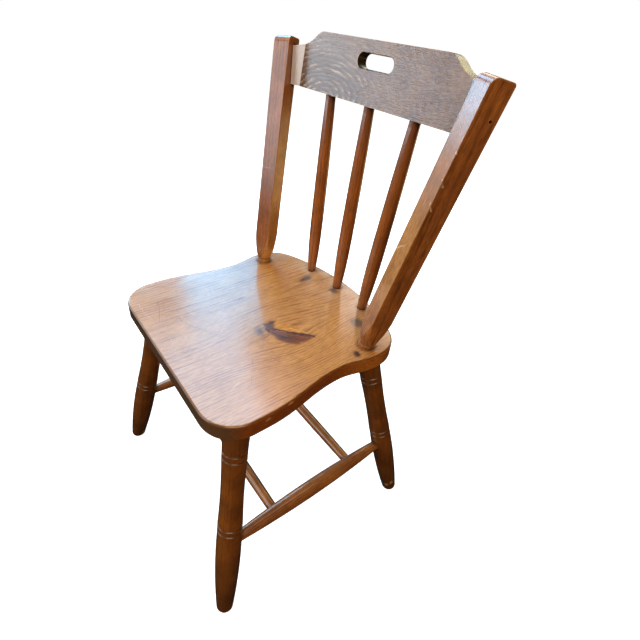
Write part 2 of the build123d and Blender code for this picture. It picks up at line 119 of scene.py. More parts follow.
# %% [markdown]
# ## The floor
# The floor is one large, pale sheet with a soft shadow under the feet. A curved backdrop would hide
# its far edge, but a sheet that runs past the horizon needs no curve. It would throw its light up at
# the chair like the white world, so it is kept out of the rays that carry such light.

# %% Lay the floor
FLOOR_HALF = 60.0

floor_mesh = bpy.data.meshes.new("floor")
sheet = bmesh.new()
bmesh.ops.create_grid(sheet, x_segments=1, y_segments=1, size=FLOOR_HALF)
sheet.to_mesh(floor_mesh)
sheet.free()
floor = bpy.data.objects.new("floor", floor_mesh)
scene.collection.objects.link(floor)
floor.visible_diffuse = False
floor.visible_glossy = False
reach = max(v.co.x for v in floor_mesh.vertices)
print("the floor reaches", round(reach), "m from the chair, in faces:", len(floor_mesh.polygons))

# %% [markdown]
# ## The floor's paint
# The sheet is painted white. Paint that only reflects would turn grey where no panel lights it, and
# lamps for the floor alone would light the chair too. So this paint glows by itself, less under the
# chair, where the shadow has to show, and more further out, where it ends in the white behind.

# %% Paint the floor
NEAR, FAR = 0.3, 1.5
NEAR_GLOW, FAR_GLOW = 0.72, 1.0

# Emulsion, rolled on: an even white without shine
paint = blank_material("rolled_white_emulsion")
tree = paint.node_tree
place = add(tree, "TexCoord", {}, out="Object")
away = add(tree, "VectorMath", {0: place}, out="Value", operation="LENGTH")
lift = {"Value": away, "From Min": NEAR, "From Max": FAR, "To Min": NEAR_GLOW, "To Max": FAR_GLOW}
matt = {
    "Base Color": linear("#f4f3f1"),
    "Roughness": 0.9,
    "Emission Color": linear("#ffffff"),
    "Emission Strength": add(tree, "MapRange", lift, interpolation_type="SMOOTHSTEP"),
}
add(tree, "OutputMaterial", {"Surface": add(tree, "BsdfPrincipled", matt)})
floor_mesh.materials.append(paint)
print("the glow goes from", NEAR_GLOW, "to", FAR_GLOW, "between", NEAR, "and", FAR, "m")

# %% [markdown]
# ## Soft panels
# Lacquer shows what stands round it, so each light is a reflection too. The seat mirrors cool, pale
# light up to the edge of a post, then stays amber, and has a cream gleam along its back. One big lamp
# would light the wood as well, but leave the lacquer blank. Area lights are soft panels: each faces
# the chair from where a gleam says that it must be, and none of them shows itself. The last two lift
# the shadows.

# %% Hang the panels
TARGET = Vector((0, 0, 0.5))


def panel(name, bearing, rise, distance, width, height, power, colour):
    """A soft panel at a bearing from +X and a rise from the chair's middle, both in degrees."""
    lamp = bpy.data.lights.new(name, "AREA")
    lamp.shape = "RECTANGLE"
    lamp.size, lamp.size_y = width, height
    lamp.energy = power
    lamp.color = linear(colour)[:3]
    holder = bpy.data.objects.new(name, lamp)
    scene.collection.objects.link(holder)
    bearing, rise = math.radians(bearing), math.radians(rise)
    out = Vector((math.cos(bearing), math.sin(bearing), math.tan(rise)))
    holder.location = TARGET + out.normalized() * distance
    holder.rotation_euler = out.to_track_quat("Z", "Y").to_euler()
    holder.visible_camera = False
    return holder


panels = [
    panel("blue_beside", 155.8, 30.5, 3.0, 0.66, 0.85, 15, "#38c4ff"),
    panel("cool_high", 168, 51.5, 3.0, 1.3, 1.4, 50, "#9ad4ff"),
    panel("rose_high", 146, 54, 3.0, 0.35, 0.8, 3, "#ffdfe6"),
    panel("cool_beside", 178, 19.5, 3.0, 2.2, 0.95, 50, "#b2deff"),
    panel("cool_low", 193, 12, 3.0, 0.5, 0.6, 5.6, "#b0e2ff"),
    panel("cream_low", 180, 2, 3.0, 2.2, 0.7, 9, "#fff0de"),
    panel("cool_in_front", 216.5, 9.6, 3.0, 1.2, 0.9, 18.5, "#e2f0ff"),
    panel("blue_in_front", 230, 9.6, 3.0, 0.3, 0.9, 4.2, "#7cc8ff"),
    panel("cream_in_front", 238.5, 9.6, 3.0, 0.5, 0.9, 6.0, "#ffebe0"),
    panel("pale_in_front", 256.5, 15.5, 3.0, 1.44, 1.45, 30, "#e6f4ff"),
    panel("lime_behind", 103, 32, 3.0, 1.2, 1.0, 10.0, "#f6f8cc"),
    panel("cream_behind", 124, 32.5, 3.0, 0.84, 0.56, 7.0, "#fff0e2"),
    panel("amber_behind", 78, -8.5, 1.7, 0.9, 0.5, 2.6, "#ffcf8a"),
    panel("cream_high", 245, 48, 3.0, 1.6, 1.2, 20, "#fff3e2"),
    panel("overhead", 180, 84, 2.6, 2.4, 2.4, 30, "#fff0dc"),
    panel("fill_by_camera", -28, 38, 3.2, 2.4, 2.0, 74, "#ffe9cf"),
]
print("panels:", ", ".join(p.name for p in panels))

# %% [markdown]
# ## Which way the grain runs
# A joiner lays the grain along the length of each piece, because wood splits along it. The grain of
# a rod could be typed in as a direction, but the mesh already knows it: it runs between the middles
# of the two ends. The seat's runs from front to back, as the long lines on it show, and the crest
# rail's from end to end, so those two are given.

# %% Measure the grain
# Which way each kind of rod is longest, by the first word of its name: 0 is X, 1 is Y and 2 is Z
LONG_WAY = {"cross": 0, "side": 1, "front": 2, "back": 2, "spindle": 2}


def ends(name, way):
    """The middles of a piece's two ends, along one of the three main directions."""
    points = [v.co for v in nodes[name].data.vertices]
    low, high = min(p[way] for p in points), max(p[way] for p in points)
    margin = (high - low) * 0.01
    first = [p for p in points if p[way] < low + margin]
    last = [p for p in points if p[way] > high - margin]
    return sum(first, Vector()) / len(first), sum(last, Vector()) / len(last)


grain = {
    "seat": (Vector((0, -0.195, 0.43)), Vector((0, 0.214, 0.43))),
    "crest_rail": (Vector((-0.2, 0.196, 0.785)), Vector((0.2, 0.196, 0.785))),
}
for name in nodes:
    kind = name.split("_")[0]
    if kind in LONG_WAY:
        grain[name] = ends(name, LONG_WAY[kind])
for name, (start, end) in grain.items():
    print(name, [round(x, 3) for x in start], "to", [round(x, 3) for x in end])

# %% [markdown]
# ## Pine, as it grows
# Pine grows pale, soft early wood and a thin line of dark, hard late wood each year. A picture of
# wood could be wrapped round each piece, but it would smear at the ends. So the tree itself is drawn,
# as rings about a pith line in or beside the piece, and each piece is cut out of it. One function
# starts such a piece: it keeps the place of every point, and a looser place for marks drawn one by one,
# which wanders by a few millimetres so that no mark has a ruled edge.

# %% Start a piece of pine
WANDER_SIZE_MM = 12
WANDER_MM = (10, 10, 0)


def pine(name, made, early, late):
    """Start a finish for one piece: its material, its place in the room and its two wood colours."""
    material = blank_material(f"{made}_stained_pine_{name}")
    tree = material.node_tree
    place = add(tree, "TexCoord", {}, out="Object")
    stray = {"Vector": place, "Scale": 1000 / WANDER_SIZE_MM, "Detail": 4}
    stray = add(tree, "TexNoise", stray, out="Color")
    stray = add(tree, "VectorMath", {0: stray, 1: (0.5, 0.5, 0.5)}, operation="SUBTRACT")
    stray = add(tree, "VectorMath", {0: stray, 1: Vector(WANDER_MM) / 1000}, operation="MULTIPLY")
    loose = add(tree, "VectorMath", {0: place, 1: stray}, operation="ADD")
    start, end = grain[name]
    return {
        "name": name, "material": material, "tree": tree, "axis": (end - start).normalized(),
        "place": place, "loose": loose, "grown": place, "early": linear(early), "late": linear(late),
    }


print("marks wander by up to", WANDER_MM[0] / 2, "mm, in bends about", WANDER_SIZE_MM, "mm across")

# %% [markdown]
# ## Masks
# Wear and knots sit in certain places. A mask is a number at each point of the wood, 1 where a mark
# is and 0 where it isn't. It could be painted by hand on an unwrapped mesh, but these are worked out
# from places in millimetres: patches, straight strokes, and sides that face one way.

# %% Masks for marks


def patch(wood, middle_mm, half_mm, turn=0.0, where="loose"):
    """A mask that is 1 in the middle of an ellipsoid and falls to 0 at its surface."""
    room = {"Vector": wood[where], "Location": Vector(middle_mm) / 1000, "Scale": Vector(half_mm) / 1000}
    room["Rotation"] = (0, 0, math.radians(turn))
    room = add(wood["tree"], "Mapping", room, vector_type="TEXTURE")
    return add(wood["tree"], "TexGradient", {"Vector": room}, out="Fac", gradient_type="SPHERICAL")


def stroke(wood, start_mm, end_mm, width_mm):
    """A mask that is 1 along a straight stroke and falls to 0 at its sides."""
    tree = wood["tree"]
    start, run = Vector(start_mm) / 1000, (Vector(end_mm) - Vector(start_mm)) / 1000
    offset = add(tree, "VectorMath", {0: wood["loose"], 1: start}, operation="SUBTRACT")
    along = {0: offset, 1: run / run.length_squared}
    along = add(tree, "VectorMath", along, out="Value", operation="DOT_PRODUCT")
    along = add(tree, "Math", {0: along, 1: 1.0}, operation="MULTIPLY", use_clamp=True)
    nearest = add(tree, "VectorMath", {0: run, "Scale": along}, operation="SCALE")
    gap = add(tree, "VectorMath", {0: offset, 1: nearest}, out="Value", operation="DISTANCE")
    return add(tree, "MapRange", {"Value": gap, "From Min": width_mm / 2000, "From Max": 0.0})


def facing(wood, way):
    """How squarely the surface faces a direction, from -1 to 1."""
    normal = add(wood["tree"], "NewGeometry", {}, out="Normal")
    return add(wood["tree"], "VectorMath", {0: normal, 1: way}, out="Value", operation="DOT_PRODUCT")


print("three masks: patch, stroke and facing")

# %% [markdown]
# ## Rings
# Blender's wave texture can draw rings, but even ones look like corduroy. In a real tree the years
# differ and the trunk isn't round, so a slow noise first moves the rings aside. That noise is
# stretched along the trunk, as everything in wood is. A board that was sawn across a leaning trunk
# shows its rings as arches, so the rings may lean away from the grain.

# %% Draw the rings
STRETCH = 18.0
DRIFT_SIZE_MM = 30
# One band of the wave texture is 2 pi / 20 wide at a scale of 1
WAVE_BAND = 2 * math.pi / 20


def trunk(wood, pith_mm, lean=0.0):
    """The wood's points as the tree has them: about its pith, and shrunk along its trunk."""
    start, end = grain[wood["name"]]
    axes = (end - start).to_track_quat("Z", "Y").to_matrix()
    log = {"Vector": wood["grown"], "Location": start + axes @ (Vector(pith_mm) / 1000)}
    log["Rotation"] = (axes @ Matrix.Rotation(lean, 3, "Y")).to_euler()
    log["Scale"] = (1, 1, STRETCH)
    return add(wood["tree"], "Mapping", log, vector_type="TEXTURE")


def rings(tree, log, leaning, ring_mm, waver, drift_mm):
    """A mask of the late wood, one line for each year."""
    drift = add(tree, "TexNoise", {"Vector": log, "Scale": 1000 / DRIFT_SIZE_MM, "Detail": 1}, out="Color")
    drift = add(tree, "VectorMath", {0: drift, 1: (0.5, 0.5, 0.5)}, operation="SUBTRACT")
    drift = add(tree, "VectorMath", {0: drift, "Scale": drift_mm / 1000 * 2}, operation="SCALE")
    moved = add(tree, "VectorMath", {0: leaning, 1: drift}, operation="ADD")
    years = {"Vector": moved, "Scale": WAVE_BAND / (ring_mm / 1000), "Distortion": waver}
    years |= {"Detail": 3, "Detail Scale": 0.9}
    saw = {"wave_type": "RINGS", "rings_direction": "Z", "wave_profile": "SAW"}
    line = {"Value": add(tree, "TexWave", years, out="Fac", **saw), "From Min": 0.3, "From Max": 1.0}
    return add(tree, "MapRange", line, interpolation_type="SMOOTHSTEP")


print("patterns are stretched", STRETCH, "times along the trunk")

# %% [markdown]
# ## Fibres and soft patches
# No line in pine is whole: it fades here and breaks there, and between the lines lie fine fibres and
# broad soft patches. Each could be drawn as the rings are, but they have no order, so noise makes them
# all: broad noise the patches, finer noise the fading, then the breaks, and the finest the fibres.

# %% Draw the fibres
SHORTER = 2.5
FADE_MM, DASH_MM, BLOTCH_MM = 9, 4, 40
# Real fibres are under 0.1 mm wide. These are 1.5 mm, the finest that shows
FIBRE_MM = 1.5


def figure(wood, ring_mm, pith_mm, waver=5.0, drift_mm=4.0, lean=0.0, strength=1.0):
    """The late wood's lines, the fibres and the patches, and the two colours mixed by the lines."""
    tree = wood["tree"]
    log = trunk(wood, pith_mm)
    line = rings(tree, log, trunk(wood, pith_mm, lean), ring_mm, waver, drift_mm)
    fade = add(tree, "TexNoise", {"Vector": log, "Scale": 1000 / FADE_MM, "Detail": 2}, out="Fac")
    fade = {"Value": fade, "From Min": 0.36, "From Max": 0.62, "To Min": 0.1, "To Max": 1.0}
    short = add(tree, "Mapping", {"Vector": log, "Scale": (1, 1, SHORTER)})
    dash = add(tree, "TexNoise", {"Vector": short, "Scale": 1000 / DASH_MM, "Detail": 2}, out="Fac")
    dash = {"Value": dash, "From Min": 0.38, "From Max": 0.58, "To Min": 0.3, "To Max": 1.15}
    line = add(tree, "Math", {0: line, 1: add(tree, "MapRange", fade)}, operation="MULTIPLY")
    line = {0: line, 1: add(tree, "MapRange", dash)}
    line = add(tree, "Math", line, operation="MULTIPLY", use_clamp=True)
    wood["latewood"] = add(tree, "Math", {0: line, 1: strength}, operation="MULTIPLY", use_clamp=True)
    fibre = add(tree, "TexNoise", {"Vector": short, "Scale": 1000 / FIBRE_MM, "Detail": 3}, out="Fac")
    wood["fibre"] = add(tree, "MapRange", {"Value": fibre, "From Min": 0.35, "From Max": 0.68})
    blotch = {"Vector": wood["place"], "Scale": 1000 / BLOTCH_MM, "Detail": 4}
    blotch = {"Value": add(tree, "TexNoise", blotch, out="Fac"), "From Min": 0.36, "From Max": 0.64}
    wood["blotch"] = add(tree, "MapRange", blotch)
    colours = {0: wood["latewood"], 6: wood["early"], 7: wood["late"]}
    wood["colour"] = add(tree, "Mix", colours, out=2, data_type="RGBA")


print("fibres are", FIBRE_MM, "mm wide and about", FIBRE_MM * STRETCH / SHORTER, "mm long")

# %% [markdown]
# ## Stain
# Stain never takes evenly: it is darker in soft patches and along some fibres, and end grain drinks
# the most. Over the years dirt settles in grooves and round joints, and these are also painted dark
# as painted shade; the arrises, the sharp edges between two faces, are rubbed pale. Both could be
# painted on, but ambient occlusion finds them: it says how little of the sky a point sees within a few
# millimetres. Seen from inside the wood, a thin arris is shut in just as a corner is from outside.

# %% Stain
DIRT_AND_SHADE_REACH_MM, ARRIS_REACH_MM = 8, 3
AO_SAMPLES = 6
DIRT_AND_SHADE = "#1c0d04"


def shade(wood, colour, strength, *masks):
    """Lay a colour over the wood, as strongly as all the masks let it."""
    amount = strength
    for mask in masks:
        amount = add(wood["tree"], "Math", {0: amount, 1: mask}, operation="MULTIPLY")
    layers = {0: amount, 6: wood["colour"], 7: linear(colour)}
    wood["colour"] = add(wood["tree"], "Mix", layers, out=2, data_type="RGBA")


def stain(wood, dark, end_grain, rubbed, fibre=0.35, blotch=0.4, dirt_and_shade=0.75, wear=0.6):
    """Uneven stain along the fibres and in patches, end grain, corners dark with dirt and painted shade,
    and rubbed arrises.
    """
    tree = wood["tree"]
    shade(wood, dark, fibre, wood["fibre"])
    shade(wood, dark, blotch, wood["blotch"])
    across = add(tree, "Math", {0: facing(wood, wood["axis"])}, operation="ABSOLUTE")
    across = {"Value": across, "From Min": 0.6, "From Max": 0.9}
    wood["end"] = add(tree, "MapRange", across, interpolation_type="SMOOTHSTEP")
    shade(wood, end_grain, 0.9, wood["end"])
    sky = {"Distance": DIRT_AND_SHADE_REACH_MM / 1000}
    sky = add(tree, "AmbientOcclusion", sky, out="AO", samples=AO_SAMPLES)
    wood["corner"] = add(tree, "MapRange", {"Value": sky, "From Min": 0.95, "From Max": 0.6})
    # Dirt and painted shade: the less sky a point sees within reach, the darker it is painted
    shade(wood, DIRT_AND_SHADE, dirt_and_shade, wood["corner"])
    thick = {"Distance": ARRIS_REACH_MM / 1000}
    thick = add(tree, "AmbientOcclusion", thick, out="AO", samples=AO_SAMPLES, inside=True, only_local=True)
    wood["arris"] = add(tree, "MapRange", {"Value": thick, "From Min": 0.92, "From Max": 0.6})
    shade(wood, rubbed, wear, wood["arris"], wood["blotch"])


print("dirt reaches", DIRT_AND_SHADE_REACH_MM, "mm from a corner, and rubbing", ARRIS_REACH_MM, "mm from an arris")

# %% [markdown]
# ## Lacquer
# Then the chair is lacquered. Semi-gloss lacquer is a clear coat over a rougher surface, and though
# one shiny surface could stand for both, Blender's main shader has a coat layer for just this. The
# coat sinks a little into the soft early wood and has brush marks, so both layers get some relief.
# It is gone in the dark corners and on worn faces, and each piece says how bare its arrises are.

# %% Lacquer
# Brush marks are finer than 0.2 mm. These are 2 mm, the finest that shows
BRUSH_MM = 2
LACQUER_IOR = 1.5
SMOOTH, DULL = 0.39, 0.53


def lacquer(wood, coat_roughness=0.18, relief_mm=0.12, skin_mm=0.03, bare=0.0):
    """Close the finish with semi-gloss lacquer and give it to the piece."""
    tree = wood["tree"]
    height = add(tree, "Math", {0: wood["latewood"], 1: wood["fibre"]}, operation="ADD")
    relief = add(tree, "Bump", {"Height": height, "Strength": 0.6, "Distance": relief_mm / 1000})
    skin = {"Vector": wood["place"], "Scale": 1000 / BRUSH_MM, "Detail": 3}
    skin = add(tree, "Math", {0: add(tree, "TexNoise", skin, out="Fac"), 1: height}, operation="ADD")
    skin = add(tree, "Bump", {"Height": skin, "Strength": 0.6, "Distance": skin_mm / 1000})
    under = {"Value": wood["blotch"], "To Min": SMOOTH, "To Max": DULL}
    gone = add(tree, "Math", {0: wood["arris"], 1: bare}, operation="MULTIPLY")
    gone = add(tree, "Math", {0: gone, 1: wood["corner"]}, operation="MAXIMUM")
    if "worn" in wood:
        gone = add(tree, "Math", {0: gone, 1: wood["worn"]}, operation="MAXIMUM")
    surface = {
        "Base Color": wood["colour"],
        "Roughness": add(tree, "MapRange", under),
        "IOR": LACQUER_IOR,
        "Specular IOR Level": 0.2,
        "Normal": relief,
        "Coat Weight": add(tree, "MapRange", {"Value": gone, "To Min": 1.0, "To Max": 0.0}),
        "Coat Roughness": coat_roughness,
        "Coat IOR": LACQUER_IOR,
        "Coat Normal": skin,
    }
    add(tree, "OutputMaterial", {"Surface": add(tree, "BsdfPrincipled", surface)})
    materials = nodes[wood["name"]].data.materials
    materials.clear()
    materials.append(wood["material"])


print("lacquer has an index of refraction of", LACQUER_IOR)

# %% [markdown]
# ## The seat's plank
# The seat is one flat-sawn plank of honey-coloured pine. A branch grew through it near the middle,
# and the rings bend round that knot. They could be drawn one by one, but it is enough to cheat with
# the place: points beside the knot look up their ring from nearer its middle, so the lines there are
# pushed outwards.

# %% Grow the plank
TOP = 445.0
KNOT_MIDDLE = Vector((70, 12, TOP))
KNOT_REACH = (120, 150, 200)

# Planed pine under honey stain and lacquer: broad pale bands, fine dark lines and a clear shine
seat = pine("seat", "planed", early="#c48a48", late="#7a4415")
tree = seat["tree"]
near = patch(seat, KNOT_MIDDLE, KNOT_REACH, where="place")
near = add(tree, "Math", {0: near, 1: 1.5}, operation="POWER")
bend = add(tree, "VectorMath", {0: seat["place"], 1: KNOT_MIDDLE / 1000}, operation="SUBTRACT")
bend = add(tree, "VectorMath", {0: bend, 1: (-0.9, 0, 0)}, operation="MULTIPLY")
bend = add(tree, "VectorMath", {0: bend, "Scale": near}, operation="SCALE")
seat["grown"] = add(tree, "VectorMath", {0: seat["place"], 1: bend}, operation="ADD")
figure(seat, ring_mm=5.2, pith_mm=(40, -85, 0), waver=6.0, drift_mm=5.0)
stain(seat, dark="#8a5224", end_grain="#8a5224", rubbed="#c9904e", fibre=0.55, blotch=0.25)
print("the rings part round", [round(x) for x in KNOT_MIDDLE], "mm")

# %% [markdown]
# ## The spike knot
# A spike knot is a branch sawn along its length: a dark, reddish heart with a ragged rim, a root
# where it left the trunk, resin-soaked wood along one side and a smoky tail. It could be a painted
# picture, but a few straight sides are enough: how deep a point lies is its distance to the nearest
# of them, and from that comes a rim as soft or as hard as each part needs.

# %% Outline the spike knot
HEART = [(50, -11), (75, -8), (89, -2), (103, 10), (105, 36), (102, 49), (45, -4)]
ROOT = [(39, -13), (51, -12), (47, -3), (29, 10), (29, -10)]
RESIN = [(40, -2), (106, 50), (82, 41), (62, 39), (46, 32), (33, 24), (31, 12)]


def depth(wood, corners_mm):
    """How deep a point is inside a shape drawn on the seat, in metres."""
    tree, deep = wood["tree"], None
    for (x0, y0), (x1, y1) in zip(corners_mm, corners_mm[1:] + corners_mm[:1]):
        inward = Vector((y0 - y1, x1 - x0, 0)).normalized()
        side = add(tree, "VectorMath", {0: wood["loose"], 1: inward}, out="Value", operation="DOT_PRODUCT")
        side = add(tree, "Math", {0: side, 1: inward.dot((x0 / 1000, y0 / 1000, 0))}, operation="SUBTRACT")
        deep = side if deep is None else add(tree, "Math", {0: deep, 1: side}, operation="MINIMUM")
    return deep


def inside(wood, deep, start_mm, full_mm):
    """A mask that rises from 0 to 1 between two depths."""
    rim = {"Value": deep, "From Min": start_mm / 1000, "From Max": full_mm / 1000}
    return add(wood["tree"], "MapRange", rim, interpolation_type="SMOOTHSTEP")


print("the knot runs over", max(x for x, y in HEART) - min(x for x, y in ROOT), "mm of the seat's width")

# %% [markdown]
# ## The knot's colours
# The heart is red-brown and smoky with a scorched rim, and resin has turned the wood beside it amber.
# One dark patch would read as a burn. So the colours are laid over each other from the outside in, as
# thin coats of stain would be: resin, rim, heart and smoke.

# %% Colour the spike knot
SCORCHED_MM = 8

resin = inside(seat, depth(seat, RESIN), -3, 3)
shade(seat, "#cc8a36", 0.7, resin)
shade(seat, "#8a5318", 0.6, resin, seat["fibre"])
shade(seat, "#4a2a1c", 0.95, patch(seat, (40, -26, TOP), (20, 13, 20), turn=-30))
deep = add(tree, "Math", {0: depth(seat, HEART), 1: depth(seat, ROOT)}, operation="MAXIMUM")
shade(seat, "#86501f", 0.6, inside(seat, deep, -SCORCHED_MM, 2))
heart = inside(seat, deep, -4, 4.5)
shade(seat, "#70391a", 0.95, heart)
smoke = patch(seat, (58, -5, TOP), (44, 26, 30), turn=25)
smoke = add(tree, "MapRange", {"Value": smoke, "From Max": 0.6})
shade(seat, "#5f3f3a", 0.9, heart, smoke)
shade(seat, "#3d1f12", 0.55, heart, seat["fibre"])
print("the rim of the knot is scorched for", SCORCHED_MM, "mm")

# %% [markdown]
# ## Streaks in the knot
# The branch's own grain runs along it, as brown and grey streaks, and dark bark is caught at its rim.
# Noise would put streaks anywhere, so these few are drawn as strokes where the real ones lie.

# %% Streak the spike knot
BARK = "#32190c"
STREAKS = [
    ((54, -5), (100, 36), 4, "#94502a", 0.65),
    ((68, -4), (103, 24), 3, "#43200f", 0.8),
    ((50, -8), (78, 9), 4, "#7a5c5e", 0.5),
    ((47, -3), (79, 27), 5, BARK, 1.0),
    ((76, 24), (103, 49), 9, BARK, 1.0),
    ((28, -9), (30, 10), 9, BARK, 1.0),
    ((39, -13), (52, -12), 4, BARK, 1.0),
    ((56, 2), (68, 12), 2.5, "#b98a5e", 0.8),
    ((42, 18), (72, 36), 3, "#9a5f1e", 0.7),
    ((60, 24), (92, 44), 2.5, "#e2ab5c", 0.6),
]

for start, end, width, colour, strength in STREAKS:
    shade(seat, colour, strength, stroke(seat, (*start, TOP), (*end, TOP), width))
print(len(STREAKS), "streaks, of which", sum(streak[3] == BARK for streak in STREAKS), "are bark")

# %% [markdown]
# ## Small knots and scratches
# Four small knots sit near the back: a brown halo and a nearly black middle, both from one patch. The
# scratches are what is left of a long life, fine lines that cut through the colour. They could be cut
# into the mesh, but they are far too shallow to cast a shadow, so they are strokes of colour.

# %% Draw the small knots and scratches
KNOT_HALO = 1.7
# Each knot's place, its half width and half length in mm, and its turn in degrees
KNOTS = [(116, 145, 17, 12, 20), (179, 84, 8, 6, 0), (-59, 151, 8, 17, 10), (7, 174, 11, 8, 0)]
DARK_SCRATCHES = [
    ((-72, -133), (-36, -121)), ((-36, -121), (9, -95)), ((-137, -145), (-77, -163)),
    ((95, -73), (110, -81)), ((126, -93), (144, -103)), ((107, -46), (124, -39)),
    ((-128, -40), (-107, -48)),
]
PALE_SCRATCHES = [
    ((-148, -176), (-118, -179)), ((-118, -179), (-90, -173)), ((139, -135), (128, -117)),
    ((130, -40), (129, -27)),
]
# Real scratches are 0.2 mm wide. These are about 1.5 mm at the foot, the finest that shows
DARK_SCRATCH_MM, PALE_SCRATCH_MM = 1.6, 1.4

for x, y, across, along, turned in KNOTS:
    halo = patch(seat, (x, y, TOP), (across * KNOT_HALO, along * KNOT_HALO, 20), turned)
    shade(seat, "#7a4518", 0.9, halo)
    middle = add(tree, "MapRange", {"Value": halo, "From Min": 0.3, "From Max": 0.72})
    shade(seat, "#2e1a0e", 0.95, middle)
for start, end in DARK_SCRATCHES:
    shade(seat, "#5a3416", 0.8, stroke(seat, (*start, TOP), (*end, TOP), DARK_SCRATCH_MM))
for start, end in PALE_SCRATCHES:
    shade(seat, "#f0d2ae", 0.3, stroke(seat, (*start, TOP), (*end, TOP), PALE_SCRATCH_MM))
print(len(KNOTS), "knots and", len(DARK_SCRATCHES) + len(PALE_SCRATCHES), "scratches")

# %% [markdown]
# ## Hairlines, dust and painted sheen
# Where the seat is sat on, its lacquer is full of hairlines that lie every way, far too many to draw.
# A noise that is stretched one way and cut off high gives short lines, and each turn of it a new
# direction. Round the feet of the spindles, where cloths seldom reach, lies a little dust with a
# painted sheen over it, and a slow ramp is enough for both.

# %% Draw the hairlines, and the dust and painted sheen
HAIRLINE_TURNS = (20, 75, 140)
HAIRLINE_STRETCH = 14
# Real hairlines are under 0.1 mm wide. These are 1.6 mm, the finest that shows
HAIRLINE_MM = 1.6
SAT_ON_MIDDLE, SAT_ON_REACH = (-20, -110, TOP), (230, 150, 60)
DUST_AND_SHEEN_START, DUST_AND_SHEEN_FULL = 0.1, 0.2

sat_on = patch(seat, SAT_ON_MIDDLE, SAT_ON_REACH)
sat_on = add(tree, "MapRange", {"Value": sat_on, "From Max": 0.6})
for turned in HAIRLINE_TURNS:
    lines = {"Vector": seat["loose"], "Rotation": (0, 0, math.radians(turned))}
    lines = add(tree, "Mapping", lines | {"Scale": (HAIRLINE_STRETCH, 1, 1)}, vector_type="TEXTURE")
    lines = add(tree, "TexNoise", {"Vector": lines, "Scale": 1000 / HAIRLINE_MM, "Detail": 1}, out="Fac")
    lines = add(tree, "MapRange", {"Value": lines, "From Min": 0.67, "From Max": 0.75})
    shade(seat, "#ecd0b4", 0.3, lines, sat_on, seat["blotch"])
dust_and_sheen = add(tree, "SeparateXYZ", {"Vector": seat["loose"]}, out="Y")
dust_and_sheen = {"Value": dust_and_sheen, "From Min": DUST_AND_SHEEN_START, "From Max": DUST_AND_SHEEN_FULL}
dust_and_sheen = add(tree, "MapRange", dust_and_sheen, interpolation_type="SMOOTHSTEP")
# Dust and painted sheen: the back of the seat is laid over with a paler colour
shade(seat, "#dcb898", 0.45, dust_and_sheen, seat["blotch"])
print("hairlines lie at", HAIRLINE_TURNS, "degrees")

# %% [markdown]
# ## The seat's edges
# The edges kept the dark stain that the top has lost. The front edge, round both corners, is end
# grain and the darkest of all, and the side has a painted amber highlight above the back leg. Another
# material on those faces would need a split mesh, so the way that the surface faces picks the colour.
# Two chips in the near edge show bare wood.

# %% Finish the seat
UP, FRONT = (0, 0, 1), (0, -1, 0)
AMBER_HIGHLIGHT_MIDDLE, AMBER_HIGHLIGHT_REACH = (195, 110, 425), (60, 90, 60)
SEAT_CHIPS = [((203, -72, 441), (8, 8, 3)), ((207, -113, 436), (8, 6, 4))]


def chip(wood, middle_mm, half_mm, colour, strength):
    """A spot where the finish is knocked off."""
    spot = {"Value": patch(wood, middle_mm, half_mm), "From Min": 0.1, "From Max": 0.4}
    shade(wood, colour, strength, add(wood["tree"], "MapRange", spot))


rise = facing(seat, UP)
edge = {"Value": rise, "From Min": 0.985, "From Max": 0.86}
edge = add(tree, "MapRange", edge, interpolation_type="SMOOTHSTEP")
shade(seat, "#68391a", 0.9, edge)
side = {"Value": rise, "From Min": 0.6, "From Max": 0.25}
side = add(tree, "MapRange", side, interpolation_type="SMOOTHSTEP")
shade(seat, "#984c12", 0.92, side)
# Painted highlight: an amber patch on the side above the back leg
shade(seat, "#cf7a24", 0.9, side, patch(seat, AMBER_HIGHLIGHT_MIDDLE, AMBER_HIGHLIGHT_REACH))
ahead = {"Value": facing(seat, FRONT), "From Min": 0.1, "From Max": 0.7}
ahead = add(tree, "MapRange", ahead, interpolation_type="SMOOTHSTEP")
end_grain = add(tree, "Math", {0: seat["end"], 1: ahead}, operation="MAXIMUM")
shade(seat, "#5a4630", 0.85, edge, end_grain)
shade(seat, "#4a2408", 0.6, edge, seat["fibre"])
for middle, half in SEAT_CHIPS:
    chip(seat, middle, half, "#c08a52", 0.8)
lacquer(seat, coat_roughness=0.14, relief_mm=0.2, skin_mm=0.07)
print("seat finished, with", len(SEAT_CHIPS), "chips")

# %% [markdown]
# ## Legs
# The legs were turned on a lathe and stained a deep red-brown. One finish could serve all four, but
# then each would show the same lines, so each is cut beside the pith at another place. Toward the
# floor they are painted darker, as painted shade, the ridges of the bands are rubbed, and the back
# left foot has lost two chips.

# %% Finish the legs
FLOOR_SHADE_TOP = 0.22
LEG_CHIPS = {"back_leg_left": [((248, 210, 30), (9, 6, 8)), ((242, 201, 21), (6, 6, 5))]}

